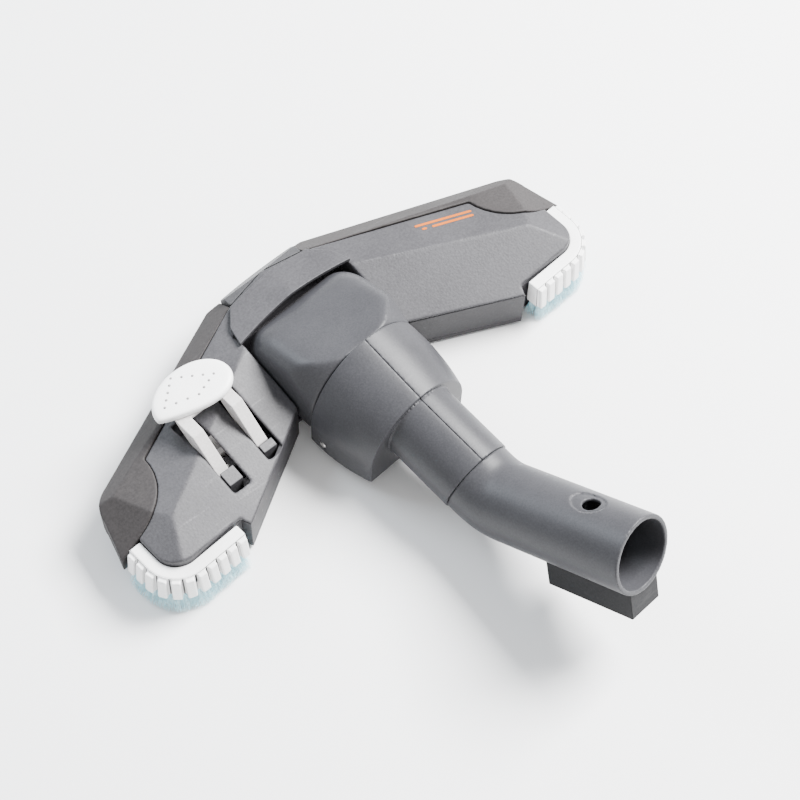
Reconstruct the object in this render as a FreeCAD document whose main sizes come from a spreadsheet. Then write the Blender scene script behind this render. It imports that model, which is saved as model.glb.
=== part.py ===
import FreeCAD, Part
import math
import os
import Sketcher
from FreeCAD import Placement, Rotation, Vector

# Floor head for a vacuum cleaner: a swept-back housing with a suction mouth under it, a foot pedal that
# lowers a brush strip, a neck that tilts on two trunnions and runs on two wheels, and an elbow that
# swivels in the neck and takes the wand. Millimetres. X runs across the head, +Y points forward, +Z up,
# and the floor is z = 0.

doc = FreeCAD.newDocument("floor_head")

# ---------------------------------------------------------------------------------------------------
# Driving dimensions
# ---------------------------------------------------------------------------------------------------

SIZES = [
    ("origin_offset", 23.0, "rear corners of the wings to the middle of the whole length"),
    ("front_sweep", 22.5, "angle of the front edge of a wing"),
    ("rear_sweep", 27.9, "angle of the rear wall of a wing"),
    ("front_outer", 103.4, "front face of the bumper, measured square to the front edge"),
    ("front_inner", 91.7, "front edge of the cover, measured the same way"),
    ("rear_line", 43.1, "rear wall, measured square to the rear wall"),
    ("wing_end", 130.2, "outer end of the cover from the middle"),
    ("corner_radius", 11.3, "rounded rear corner of the cover"),
    ("cap_radius", 28.3, "curved inner edge of the corner cap"),
    ("chamber_half", 33.6, "half width of the space between the wings"),
    ("chamber_front", 75.6, "front wall of that space"),
    ("wall", 2.0, "wall of the moulded housing"),
    ("sole_low", 1.6, "underside of the sole plate above the floor"),
    ("sole_top", 4.6, "top face of the sole plate"),
    ("split_height", 24.4, "joint between tray and cover"),
    ("channel_mid", 80.3, "middle of the suction channel, square to the front edge"),
    ("channel_width", 15.0, "width of the suction channel"),
    ("channel_roof", 7.2, "roof of the suction channel above the floor"),
    ("channel_end", 100.0, "outer end of the suction channel"),
    ("mouth_half", 26.0, "half width of the middle of the mouth"),
    ("pivot_back", 48.0, "neck hinge line from the rear corners"),
    ("pivot_height", 21.0, "neck hinge line above the floor"),
    ("barrel_radius", 26.5, "front of the hinge barrel"),
    ("barrel_half", 32.6, "half width of the hinge barrel"),
    ("trunnion_radius", 3.3, "pivot pins of the barrel"),
    ("bulge_front", 22.2, "front edge of the wheel housing"),
    ("bulge_half", 34.0, "half width of the wheel housing"),
    ("bulge_low", 8.0, "lower edge of the wheel housing"),
    ("neck_pitch", 6.03, "slope of the neck pipe"),
    ("ring_back", -51.4, "swivel joint from the rear corners"),
    ("ring_height", 28.4, "swivel joint above the floor"),
    ("neck_radius", 18.9, "outside of the neck pipe"),
    ("neck_bore", 16.2, "bore of the neck pipe"),
    ("swivel_angle", 13.56, "turn of the elbow at rest"),
    ("elbow_bend", 33.19, "bend of the elbow"),
    ("elbow_first", 13.6, "swivel joint to the corner of the bend"),
    ("elbow_second", 80.2, "corner of the bend to the mouth"),
    ("elbow_radius", 18.3, "outside of the elbow"),
    ("wand_radius", 16.0, "bore that takes the wand"),
    ("wand_depth", 42.0, "depth of that bore"),
    ("bend_radius", 28.0, "centre line of the bend"),
    ("axle_back", 14.0, "rear axle from the rear corners"),
    ("wheel_radius", 13.0, "rear wheel over its tyre"),
    ("hub_radius", 10.6, "rear wheel under its tyre"),
    ("wheel_width", 8.0, "rear wheel"),
    ("wheel_out", 24.0, "middle of a rear wheel from the middle"),
    ("axle_radius", 2.0, "rear axle"),
    ("roller_radius", 4.5, "front roller"),
    ("roller_width", 9.0, "front roller"),
    ("roller_out", 54.0, "front roller from the middle"),
    ("roller_back", 36.0, "front roller from the rear corners"),
    ("pin_radius", 1.25, "axle of a front roller"),
    ("pedal_out", 70.3, "middle of the pedal from the middle of the head"),
    ("pedal_length", 42.0, "pedal plate across"),
    ("pedal_depth", 29.0, "pedal plate front to back"),
    ("pedal_front", 60.0, "middle of the pedal plate from the rear corners"),
    ("pedal_height", 44.0, "underside of the pedal plate"),
    ("pedal_thick", 4.5, "pedal plate"),
    ("lever_back", 31.0, "pedal pivot from the rear corners"),
    ("lever_height", 24.5, "pedal pivot above the floor"),
    ("lever_pin", 1.5, "radius of the pedal pivot pin"),
    ("arm_width", 6.4, "one arm of the pedal lever"),
    ("slot_width", 9.6, "slot in the cover for one arm"),
    ("comb_depth", 6.1, "comb band in front of its teeth"),
    ("tooth_pitch", 5.6, "pitch of the comb teeth"),
    ("tooth_width", 4.3, "one comb tooth"),
    ("tooth_proud", 2.3, "how far a tooth stands out"),
    ("comb_low", 12.0, "lower edge of a comb"),
    ("comb_top", 26.6, "upper edge of a comb"),
    ("strip_line", 66.0, "brush strip, square to the front edge"),
    ("strip_half", 104.0, "half length of the brush strip across"),
    ("strip_width", 4.0, "brush strip bar"),
]

sheet = doc.addObject("Spreadsheet::Sheet", "sizes")
for row, (alias, value, note) in enumerate(SIZES, start=1):
    sheet.set("A%d" % row, note)
    sheet.set("B%d" % row, str(value))
    sheet.setAlias("B%d" % row, alias)
doc.recompute()


class Size(float):
    """A number that keeps the sheet formula it was worked out from."""

    def __new__(cls, value, text):
        size = float.__new__(cls, value)
        size.text = text
        return size

    def combine(self, other, value, sign):
        return Size(value, "(%s %s %s)" % (self.text, sign, formula(other)))

    def __add__(self, other):
        return self.combine(other, float(self) + float(other), "+")

    def __sub__(self, other):
        return self.combine(other, float(self) - float(other), "-")

    def __mul__(self, other):
        return self.combine(other, float(self) * float(other), "*")

    def __truediv__(self, other):
        return self.combine(other, float(self) / float(other), "/")

    def __neg__(self):
        return Size(-float(self), "(0 - %s)" % self.text)


def formula(value):
    return value.text if isinstance(value, Size) else repr(float(value))


def size(alias):
    return Size(sheet.get(alias), "sizes.%s" % alias)


def bind(item, name, value):
    setattr(item, name, float(value))
    if isinstance(value, Size):
        item.setExpression(name, value.text)


# ---------------------------------------------------------------------------------------------------
# Ways of making a piece
# ---------------------------------------------------------------------------------------------------

PIECES = []
REST = Vector(0, sheet.get("origin_offset"), 0)


def place(item, position=Vector(0, 0, 0), rotation=Rotation()):
    """Puts a piece in the head's frame, whose origin is under the middle of the whole length."""
    item.Placement = Placement(position + REST, rotation).multiply(item.Placement)
    PIECES.append(item)
    return item


def new_body(label):
    body = doc.addObject("PartDesign::Body", label)
    body.Label = label
    return body


def new_sketch(body, plane, name):
    """A sketch on one of the body's own planes: XY_Plane, XZ_Plane or YZ_Plane."""
    sketch = body.newObject("Sketcher::SketchObject", name)
    support = [part for part in body.Origin.OriginFeatures if part.Role == plane][0]
    sketch.AttachmentSupport = (support, [""])
    sketch.MapMode = "FlatFace"
    return sketch


def hold_point(sketch, line, corner):
    """Fixes the start of a line at a corner whose two distances come from the sheet."""
    for kind, axis, value in (("DistanceX", -2, corner[0]), ("DistanceY", -1, corner[1])):
        if float(value) == 0.0:
            sketch.addConstraint(Sketcher.Constraint("PointOnObject", line, 1, axis))
            continue
        number = sketch.addConstraint(Sketcher.Constraint(kind, -1, 1, line, 1, float(value)))
        if isinstance(value, Size):
            sketch.setExpression("Constraints[%d]" % number, value.text)


def draw_outline(sketch, corners):
    """A closed outline of straight lines through the given corners."""
    count = len(corners)
    for index in range(count):
        start = Vector(*[float(part) for part in corners[index]], 0)
        end = Vector(*[float(part) for part in corners[(index + 1) % count]], 0)
        sketch.addGeometry(Part.LineSegment(start, end), False)
    for index in range(count):
        sketch.addConstraint(Sketcher.Constraint("Coincident", index, 2, (index + 1) % count, 1))
    for index, corner in enumerate(corners):
        hold_point(sketch, index, corner)


def draw_circle(sketch, radius, centre=(0.0, 0.0)):
    """A full circle; its radius comes from the sheet."""
    middle = Vector(float(centre[0]), float(centre[1]), 0)
    line = sketch.addGeometry(Part.Circle(middle, Vector(0, 0, 1), float(radius)), False)
    number = sketch.addConstraint(Sketcher.Constraint("Radius", line, float(radius)))
    sketch.setExpression("Constraints[%d]" % number, radius.text)
    for kind, axis, value in (("DistanceX", -2, centre[0]), ("DistanceY", -1, centre[1])):
        if float(value) == 0.0:
            sketch.addConstraint(Sketcher.Constraint("PointOnObject", line, 3, axis))
        else:
            number = sketch.addConstraint(Sketcher.Constraint(kind, -1, 1, line, 3, float(value)))
            if isinstance(value, Size):
                sketch.setExpression("Constraints[%d]" % number, value.text)


def turned(label, profile, position, rotation=Rotation()):
    """A piece turned about its own X axis; the profile is (distance along the axis, radius)."""
    body = new_body(label)
    sketch = new_sketch(body, "XY_Plane", label + "_profile")
    draw_outline(sketch, profile)
    spin = body.newObject("PartDesign::Revolution", label + "_turn")
    spin.Profile = sketch
    spin.ReferenceAxis = (sketch, ["H_Axis"])
    spin.Angle = 360.0
    return place(body, position, rotation)


def rod(label, radius, length, position):
    """A round rod along X, centred, with a small chamfer at both ends."""
    body = new_body(label)
    sketch = new_sketch(body, "YZ_Plane", label + "_section")
    draw_circle(sketch, radius)
    pad = body.newObject("PartDesign::Pad", label + "_length")
    pad.Profile = sketch
    bind(pad, "Length", length)
    pad.Midplane = True
    doc.recompute()
    chamfer = body.newObject("PartDesign::Chamfer", label + "_ends")
    edges = ["Edge%d" % (n + 1) for n, edge in enumerate(pad.Shape.Edges) if edge.Closed]
    chamfer.Base = (pad, edges)
    chamfer.Size = float(radius) * 0.2
    return place(body, position)


def padded(label, plane, corners, height, position):
    """A straight-sided block padded from an outline."""
    body = new_body(label)
    sketch = new_sketch(body, plane, label + "_outline")
    draw_outline(sketch, corners)
    pad = body.newObject("PartDesign::Pad", label + "_height")
    pad.Profile = sketch
    bind(pad, "Length", height)
    return place(body, position)


def shaped(label, shape, position=Vector(0, 0, 0), rotation=Rotation()):
    """A moulded piece with compound curves, whose shape is worked out from the sheet."""
    item = doc.addObject("Part::Feature", label)
    item.Label = label
    item.Shape = shape
    return place(item, position, rotation)


def mirrored(shape):
    return shape.mirror(Vector(0, 0, 0), Vector(1, 0, 0))


def both_sides(shape):
    """A right half joined to its mirror image."""
    return shape.fuse(mirrored(shape)).removeSplitter()


def prism(points, low, high):
    """A straight prism over a closed outline of points and (through, end) arc pairs."""
    edges = []
    here = Vector(points[0][0], points[0][1], low)
    for point in points[1:] + [points[0]]:
        if len(point) == 4:
            through = Vector(point[0], point[1], low)
            end = Vector(point[2], point[3], low)
            edges.append(Part.Arc(here, through, end).toShape())
        else:
            end = Vector(point[0], point[1], low)
            edges.append(Part.LineSegment(here, end).toShape())
        here = end
    return Part.Face(Part.Wire(edges)).extrude(Vector(0, 0, high - low))


def block(x_low, x_high, y_low, y_high, z_low, z_high):
    corner = Vector(x_low, y_low, z_low)
    return Part.makeBox(x_high - x_low, y_high - y_low, z_high - z_low, corner)


def disc(radius, length, centre, direction):
    return Part.makeCylinder(radius, length, centre, direction)


# ---------------------------------------------------------------------------------------------------
# Plan and roof of the housing
# ---------------------------------------------------------------------------------------------------

front_sweep = math.radians(sheet.get("front_sweep"))
rear_sweep = math.radians(sheet.get("rear_sweep"))
wall = sheet.get("wall")
wing_end = sheet.get("wing_end")
corner_radius = sheet.get("corner_radius")
chamber_half = sheet.get("chamber_half")
chamber_front = sheet.get("chamber_front")
sole_low = sheet.get("sole_low")
sole_top = sheet.get("sole_top")
split_height = sheet.get("split_height")


def front_y(x, distance):
    """Where a line parallel to the front edge crosses x."""
    return (distance - x * math.sin(front_sweep)) / math.cos(front_sweep)


def rear_y(x, distance):
    """Where a line parallel to the rear wall crosses x."""
    return (distance - x * math.sin(rear_sweep)) / math.cos(rear_sweep)


FRONT_MIDDLE = 93.5
FRONT_BREAK = 23.2
CAP_START = 103.8
LOBE_TOP = 29.3
LOBE_REAR = 5.7
NOTCH_X = 90.5
NOTCH_Y = 6.9
REAR_CORNER = 88.6


def wing_outline(inset):
    """Right half of the housing plan, drawn in by an inset; the middle is cut back for the neck."""
    front = sheet.get("front_inner") - inset
    cap_x = wing_end + 1.7
    cap_y = front_y(CAP_START, sheet.get("front_inner")) + 1.2
    cap = sheet.get("cap_radius") + inset
    start_x = CAP_START - inset * 0.7
    start_y = front_y(start_x, front)
    end_x = wing_end - inset
    end_y = cap_y - math.sqrt(cap ** 2 - (cap_x - end_x) ** 2)
    turn = math.radians(225)
    radius = corner_radius - inset
    corner = wing_end - corner_radius
    corner_y = LOBE_REAR + corner_radius
    rear = sheet.get("rear_line") + inset
    return [
        (0.0, FRONT_MIDDLE - inset),
        (FRONT_BREAK - inset * 0.2, front_y(FRONT_BREAK, front)),
        (start_x, start_y),
        (cap_x + cap * math.cos(turn), cap_y + cap * math.sin(turn), end_x, end_y),
        (end_x, corner_y),
        (corner + radius * math.cos(math.radians(-45)), corner_y + radius * math.sin(math.radians(-45)),
         corner, LOBE_REAR + inset),
        (NOTCH_X, NOTCH_Y + inset),
        (REAR_CORNER - inset, rear_y(REAR_CORNER - inset, rear)),
        (chamber_half + inset, rear_y(chamber_half + inset, rear)),
        (chamber_half + inset, chamber_front + inset),
        (0.0, chamber_front + inset),
    ]


# The roof of a wing is two planes that meet at a crease, and a third that lowers the outer end. Each is
# height at the middle, fall per millimetre across and fall per millimetre forward.
FRONT_SLOPE = (52.0, -0.108, -0.165)
REAR_SLOPE = (11.6, 0.142, 0.3145)
END_SLOPE = (28.8 + 0.42 * 130.2, -0.42, 0.0)
BUMPER_SLOPE = (33.6 + 0.82 * 91.7, -0.82 * math.sin(front_sweep), -0.82 * math.cos(front_sweep))
LIP_SLOPE = (35.6 + 1.45 * 93.7, 0.0, -1.45)
CAP_SLOPE = (26.0 + 0.6 * 132.0, -0.6, 0.0)
PLAN = [(0, -40), (170, -40), (170, 130), (0, 130)]


def below(planes, rise=0.0, floor=-20.0):
    """Everything on the right that lies under all the given planes, raised by a rise."""
    result = None
    for height, across, forward in planes:
        top = [Vector(x, y, height + across * x + forward * y + rise) for x, y in PLAN]
        face = Part.Face(Part.makePolygon(top + [top[0]]))
        solid = face.extrude(Vector(0, 0, -200)).common(block(0, 170, -40, 130, floor, 200))
        result = solid if result is None else result.common(solid)
    return result


ROOF = [FRONT_SLOPE, REAR_SLOPE, END_SLOPE]


LINK_LINE = sheet.get("strip_line")
SCREWS = [(41.0, 32.6), (104.0, 11.6), (124.9, 22.0)]
BOSS_RADIUS = 3.6
PILOT_RADIUS = 1.3
BEARING_RADIUS = 9.0
FIT = 0.4


def lower_tray():
    """Walls of the lower housing, with screw bosses and two bearings for the neck."""
    pivot = Vector(chamber_half - 0.5, sheet.get("pivot_back"), sheet.get("pivot_height"))
    outer = prism(wing_outline(0.0), sole_top, split_height)
    inner = prism(wing_outline(wall), sole_top, split_height)
    ring = outer.cut(inner)
    over_channel = sheet.get("channel_roof") + 2.0
    rear_of_channel = sheet.get("channel_mid") - sheet.get("channel_width") / 2 - 1.5
    middle = block(-1, chamber_half + wall + FIT, chamber_front - 1, chamber_front + wall + FIT,
                   sole_top - 1, over_channel)
    side = block(chamber_half - 1, chamber_half + wall + FIT,
                 front_y(chamber_half + wall, rear_of_channel) - FIT,
                 chamber_front + wall, sole_top - 1, over_channel)
    middle = middle.fuse(side)
    passage = block(chamber_half - 1, chamber_half + wall + 1, front_y(chamber_half, LINK_LINE) - 6,
                    front_y(chamber_half, LINK_LINE) + 5, sole_top - 1, 13.2)
    ring = ring.cut(middle).cut(passage)
    for x, y in SCREWS:
        boss = disc(BOSS_RADIUS, split_height - sole_top, Vector(x, y, sole_top), Vector(0, 0, 1))
        pilot = disc(PILOT_RADIUS, 14.0, Vector(x, y, sole_top - 1), Vector(0, 0, 1))
        ring = ring.fuse(boss.common(outer)).cut(pilot)
    bearing = disc(BEARING_RADIUS, wall + 4.0, pivot + Vector(0.5, 0, 0), Vector(1, 0, 0))
    hole = disc(sheet.get("trunnion_radius") + 0.06, 20.0, pivot - Vector(5, 0, 0), Vector(1, 0, 0))
    ring = ring.fuse(bearing.common(block(0, 60, 0, 90, 0, split_height))).cut(hole)
    return both_sides(ring)


SLOTS = [(-80.0, 16.8, 60.0), (-56.9, 19.8, 60.0)]
ARM_SHIFT = -1.5


def top_cover():
    """Roof of the housing, an open shell whose rim stands on the tray; two slots for the pedal."""
    outer = prism(wing_outline(0.0), split_height, 60).common(below(ROOF))
    inner = prism(wing_outline(wall), split_height - 1, 60).common(below(ROOF, -wall))
    right = outer.cut(inner)
    left = mirrored(right)
    half_slot = sheet.get("slot_width") / 2
    for x, y_low, y_high in SLOTS:
        left = left.cut(block(x - half_slot, x + half_slot, y_low, y_high, 20, 60))
    return right.fuse(left).removeSplitter()


STRIP_START = 37.5


def sole_plate():
    """Bottom plate: the swept suction channel, the mouth in its middle, and slots for the strip."""
    front = 100.0
    plate = prism([
        (0.0, 97.0), (28.0, front_y(28.0, front) - 1.0), (126.0, front_y(126.0, front)),
        (132.4, 46.0), (wing_end, 29.0), (wing_end, LOBE_REAR + corner_radius),
        (wing_end - 3.3, LOBE_REAR + 3.3, wing_end - corner_radius, LOBE_REAR),
        (NOTCH_X, NOTCH_Y), (REAR_CORNER, rear_y(REAR_CORNER, sheet.get("rear_line"))),
        (chamber_half, rear_y(chamber_half, sheet.get("rear_line"))), (chamber_half, 35.0), (0.0, 35.0),
    ], sole_low, sole_top)
    mid = sheet.get("channel_mid")
    half = sheet.get("channel_width") / 2
    end = sheet.get("channel_end")
    roof = sheet.get("channel_roof")
    mouth = sheet.get("mouth_half")
    skin = 1.5
    blunt = 22.0
    outside = prism([(0, 90.0), (blunt, front_y(blunt, mid + half + skin) - 0.6),
                     (end + skin, front_y(end + skin, mid + half + skin)),
                     (end + skin, front_y(end + skin, mid - half - skin)),
                     (0, front_y(0, mid - half - skin))], sole_low, roof + skin)
    outside = outside.fuse(block(0, mouth + skin, 46.5, 85.0, sole_low, roof + skin))
    inside = prism([(0, 88.5), (blunt, front_y(blunt, mid + half) - 0.6), (end, front_y(end, mid + half)),
                    (end, front_y(end, mid - half)), (0, front_y(0, mid - half))], sole_low - 1, roof)
    inside = inside.fuse(block(0, mouth, 48.0, 83.5, sole_low - 1, roof))
    outlet = block(0, mouth, 48.0, 73.0, sole_low - 1, roof + 5)
    strip = strip_bar(sheet.get("strip_width") / 2 + 0.6, -4.2, sole_low - 1, sole_top + 1)
    result = plate.fuse(outside).cut(inside).cut(outlet).cut(strip)
    roller = Vector(sheet.get("roller_out"), sheet.get("roller_back"), sheet.get("roller_radius"))
    reach = sheet.get("roller_radius") + 1.0
    wide = sheet.get("roller_width") / 2 + 0.6
    pocket = block(roller.x - wide, roller.x + wide, roller.y - reach, roller.y + reach, 0, 12)
    cheeks = block(roller.x - wide - 2, roller.x + wide + 2, roller.y - 3.2, roller.y + 3.2, sole_top, 8.6)
    pin = disc(sheet.get("pin_radius") + 0.02, 30, roller - Vector(15, 0, 0), Vector(1, 0, 0))
    result = result.fuse(cheeks).cut(pocket).cut(pin)
    for x, y in SCREWS:
        through = disc(1.7, 20, Vector(x, y, sole_low - 1), Vector(0, 0, 1))
        sunk = disc(3.1, 1.7, Vector(x, y, sole_low - 0.2), Vector(0, 0, 1))
        result = result.cut(through).cut(sunk)
    return both_sides(result)


def strip_bar(half, extra, low, high):
    """A swept bar behind the suction channel, on the right."""
    line = sheet.get("strip_line")
    end = sheet.get("strip_half") + extra
    start = STRIP_START - extra
    return prism([(start, front_y(start, line + half)), (end, front_y(end, line + half)),
                  (end, front_y(end, line - half)), (start, front_y(start, line - half))], low, high)


BAND_RISE = 2.3
GLUE_GAP = 0.05


def centre_band():
    """Raised trim across the middle of the cover, in front of the neck."""
    plan = prism([(0, 89.6), (24.0, 88.0), (32.0, 79.0), (35.0, 68.4), (18.0, 70.6, 0, 71.3)], 20, 60)
    right = plan.common(below([FRONT_SLOPE], BAND_RISE)).cut(below([FRONT_SLOPE], GLUE_GAP))
    return both_sides(right)


def front_lip():
    """Light strip that closes the front between the two bumpers."""
    plan = prism([(0, FRONT_MIDDLE + 0.1), (22.4, front_y(FRONT_BREAK, sheet.get("front_inner")) + 0.3),
                  (22.4, 97.6), (11.5, 99.7, 0, 100.3)], 11.0, 60)
    return both_sides(plan.common(below([LIP_SLOPE, FRONT_SLOPE], 0.0)))


def bumper():
    """Soft strip along the right front edge with the curved cap over the front corner."""
    outer = sheet.get("front_outer")
    inner = sheet.get("front_inner") + 0.1
    cap_x = wing_end + 1.7
    cap_y = front_y(CAP_START, sheet.get("front_inner")) + 1.2
    cap = sheet.get("cap_radius") - 0.1
    turn = math.radians(225)
    start = CAP_START + 0.2
    plan = prism([
        (FRONT_BREAK, front_y(FRONT_BREAK, inner)), (start, front_y(start, inner)),
        (cap_x + cap * math.cos(turn), cap_y + cap * math.sin(turn), wing_end + 0.6, LOBE_TOP + 0.1),
        (141.2, 29.0), (138.8, 36.0), (135.4, 47.0), (132.8, 54.0, 124.0, front_y(124.0, outer)),
        (30.0, front_y(30.0, outer)), (23.0, 98.0),
    ], 11.0, 60)
    planes = [FRONT_SLOPE, BUMPER_SLOPE, CAP_SLOPE]
    return plan.common(below(planes, 0.9))


# ---------------------------------------------------------------------------------------------------
# Combs and bristles at the outer rear corners
# ---------------------------------------------------------------------------------------------------

COMB_FRONT = 28.6
COMB_INNER = 94.0
TOOTH_DROP = 0.9


def corner_band(inner, outer, low, high, front, end):
    """A band that runs down the side, round the rear corner and in along the rear edge."""
    x = wing_end - corner_radius
    y = LOBE_REAR + corner_radius
    slant = math.sqrt(0.5)
    return prism([
        (x + outer, front), (x + outer, y), (x + outer * slant, y - outer * slant, x, y - outer),
        (end, y - outer), (end, y - inner), (x, y - inner),
        (x + inner * slant, y - inner * slant, x + inner, y), (x + inner, front),
    ], low, high)


def comb():
    """Moulded band with upright teeth all along its outside."""
    inner = corner_radius + 0.15
    outer = corner_radius + sheet.get("comb_depth")
    low = sheet.get("comb_low")
    high = sheet.get("comb_top")
    band = corner_band(inner, outer, low, high, COMB_FRONT, COMB_INNER)
    x = wing_end - corner_radius
    y = LOBE_REAR + corner_radius
    width = sheet.get("tooth_width")
    pitch = sheet.get("tooth_pitch")
    proud = sheet.get("tooth_proud")
    side = COMB_FRONT - y
    quarter = outer * math.pi / 2
    total = side + quarter + x - COMB_INNER
    count = int(total / pitch)
    for number in range(count):
        run = (number + 0.5) * total / count
        if run < side:
            base, angle = Vector(x + outer, COMB_FRONT - run, low), 0.0
        elif run < side + quarter:
            angle = -(run - side) / outer
            base = Vector(x + outer * math.cos(angle), y + outer * math.sin(angle), low)
        else:
            base, angle = Vector(x - (run - side - quarter), y - outer, low), -math.pi / 2
        tooth = Part.makeBox(proud + 1.0, width, high - low - TOOTH_DROP, Vector(-1.0, -width / 2, 0))
        tooth.Placement = Placement(base, Rotation(Vector(0, 0, 1), math.degrees(angle)))
        band = band.fuse(tooth)
    return band.removeSplitter()


def corner_bristles():
    """Dense tufts under a comb, splayed a little outwards, down to the floor."""
    inner = corner_radius + 1.2
    outer = corner_radius + sheet.get("comb_depth") + sheet.get("tooth_proud")
    return corner_band(inner, outer, 0.0, sheet.get("comb_low") - 0.02, COMB_FRONT - 0.6, COMB_INNER + 0.6)


# ---------------------------------------------------------------------------------------------------
# Pedal, lever and the brush strip it lowers
# ---------------------------------------------------------------------------------------------------

pedal_out = sheet.get("pedal_out")


def pedal_plate():
    """Oval foot plate with a softly domed top."""
    long_half = sheet.get("pedal_length") / 2
    short_half = sheet.get("pedal_depth") / 2
    thick = sheet.get("pedal_thick")
    centre = Vector(-pedal_out, sheet.get("pedal_front"), sheet.get("pedal_height"))
    ellipse = Part.Ellipse(centre, long_half, short_half).toShape()
    plate = Part.Face(Part.Wire(ellipse)).extrude(Vector(0, 0, thick))
    dome = Part.makeSphere(120, centre + Vector(0, 0, thick - 120))
    return plate.common(dome)


TIE_HALF = 4.0
TIE_START = 6.0


def pedal_lever():
    """Two arms joined by a bar, with a hub on the pin and a finger that pushes the brush strip."""
    pivot_y = sheet.get("lever_back")
    pivot_z = sheet.get("lever_height")
    width = sheet.get("arm_width")
    top = sheet.get("pedal_height") - 0.02
    result = None
    arms = [x + ARM_SHIFT for x, y_low, y_high in SLOTS]
    for x in arms:
        side = [Vector(x - width / 2, pivot_y + a, pivot_z + b) for a, b in
                ((-3.2, -2.0), (4.0, -3.0), (11.0, 6.0), (21.0, 14.5), (26.0, top - pivot_z),
                 (13.0, top - pivot_z), (4.0, 10.5), (-3.2, 3.2))]
        arm = Part.Face(Part.makePolygon(side + [side[0]])).extrude(Vector(width, 0, 0))
        result = arm if result is None else result.fuse(arm)
    left_end = arms[0] - width / 2
    right_end = arms[1] + width / 2
    bar = block(left_end, right_end, pivot_y + 14.0, pivot_y + 24.0, top - 2.4, top)
    tie_front = pivot_y + TIE_START + 3.0
    tie_back = pivot_y + TIE_START
    tie_left, tie_right = -pedal_out - TIE_HALF, -pedal_out + TIE_HALF
    cross = block(left_end, right_end, tie_back, tie_front, pivot_z - 2.0, pivot_z + 2.0)
    web = block(tie_left, tie_right, tie_back, tie_front, pivot_z - 6.0, pivot_z)
    finger = block(tie_left, tie_right, tie_back, pivot_y + 19.0, pivot_z - 6.0, pivot_z - 3.4)
    hole = disc(sheet.get("lever_pin") + 0.04, 60, Vector(-pedal_out - 30, pivot_y, pivot_z),
                Vector(1, 0, 0))
    return result.fuse(bar).fuse(cross).fuse(web).fuse(finger).cut(hole).removeSplitter()


def pivot_blocks():
    """A block behind each arm, level with the roof, and two posts for the pin, all on one foot."""
    pivot_y = sheet.get("lever_back")
    pivot_z = sheet.get("lever_height")
    blocks = block(-SLOTS[1][0] - 3.4, -SLOTS[0][0] + 4.3, 23.0, 27.4, sole_top, 10.0)
    for x, y_low, y_high in SLOTS:
        blocks = blocks.fuse(block(-x - 3.4, -x + 4.3, y_low + 3.6, 27.4, sole_top, 60.0))
    result = mirrored(blocks.common(below(ROOF, -0.3)))
    for x in (-pedal_out - 5.0, -pedal_out + 5.0):
        result = result.fuse(block(x - 1.3, x + 1.3, 24.0, pivot_y + 3.4, sole_top, 16.0))
        result = result.fuse(block(x - 1.3, x + 1.3, 28.0, pivot_y + 3.4, sole_top, pivot_z + 2.2))
    pin = disc(sheet.get("lever_pin") + 0.02, 60, Vector(-pedal_out - 30, pivot_y, pivot_z),
               Vector(1, 0, 0))
    return result.cut(pin).removeSplitter()


BAR_LOW = 8.4
LINK_OUT = 31.4
LINK_BACK = 41.4


def brush_carrier():
    """Two swept bars that slide up and down in the sole, tied behind the mouth, with a foot for the lever."""
    half = sheet.get("strip_width") / 2
    low = BAR_LOW
    thin = low + 2.0
    bar = strip_bar(half, 0.0, low, low + 4.0)
    joint = front_y(STRIP_START, sheet.get("strip_line"))
    link = block(LINK_OUT - 2.8, STRIP_START + 0.5, joint - 1.8, joint + 1.4, low, thin)
    link = link.fuse(block(LINK_OUT - 2.8, LINK_OUT, LINK_BACK, joint, low, thin))
    link = link.fuse(block(0, LINK_OUT, LINK_BACK, LINK_BACK + 4.0, low, thin))
    bar = both_sides(bar.fuse(link))
    top = sheet.get("lever_height") - 6.3
    foot = block(-pedal_out - 3.6, -pedal_out + 3.6, 42.0, 45.8, low, 16.0)
    toe = block(-pedal_out - 3.6, -pedal_out + 3.6, 44.8, 48.0, 13.0, top)
    return bar.fuse(foot).fuse(toe).removeSplitter()


def carrier_bristles():
    """Short soft tufts set into both bars."""
    half = sheet.get("strip_width") / 2 - 0.5
    right = strip_bar(half, -5.0, 3.9, BAR_LOW - 0.02)
    return Part.makeCompound([right, mirrored(right)])


def coil(radius, wire, turn_pitch, turns):
    """A coil spring of round wire, standing on the origin."""
    helix = Part.makeHelix(turn_pitch, turn_pitch * turns, radius)
    section = Part.Wire(Part.Circle(Vector(radius, 0, 0), Vector(0, 1, 0), wire).toShape())
    return Part.Wire(helix.Edges).makePipeShell([section], True, True)


SPRING_OUT = 101.9


def return_springs():
    """Two short springs between the sole and the bars that lift the brush strip."""
    springs = []
    for side in (-1, 1):
        spring = coil(1.4, 0.25, 0.85, 3.6)
        spring.translate(Vector(side * SPRING_OUT, front_y(SPRING_OUT, LINK_LINE), sole_top + 0.3))
        springs.append(spring)
    return Part.makeCompound(springs)


# ---------------------------------------------------------------------------------------------------
# Neck: hinge barrel, wheel housing and pipe
# ---------------------------------------------------------------------------------------------------

pivot = Vector(0, sheet.get("pivot_back"), sheet.get("pivot_height"))
barrel_radius = sheet.get("barrel_radius")
bulge_front = sheet.get("bulge_front")
SHOULDER = 57.0
SHOULDER_ROUND = 11.0
SPRING_LINE = 20.0
SHELL = 2.2
BARREL_START = math.radians(28)
pitch = math.radians(sheet.get("neck_pitch"))
ring = Vector(0, sheet.get("ring_back"), sheet.get("ring_height"))
neck_axis = Vector(0, -math.cos(pitch), -math.sin(pitch))
neck_turn = Rotation(Vector(1, 0, 0), math.degrees(pitch))


def on_barrel(radius, angle):
    return pivot + Vector(0, radius * math.cos(angle), radius * math.sin(angle))


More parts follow.
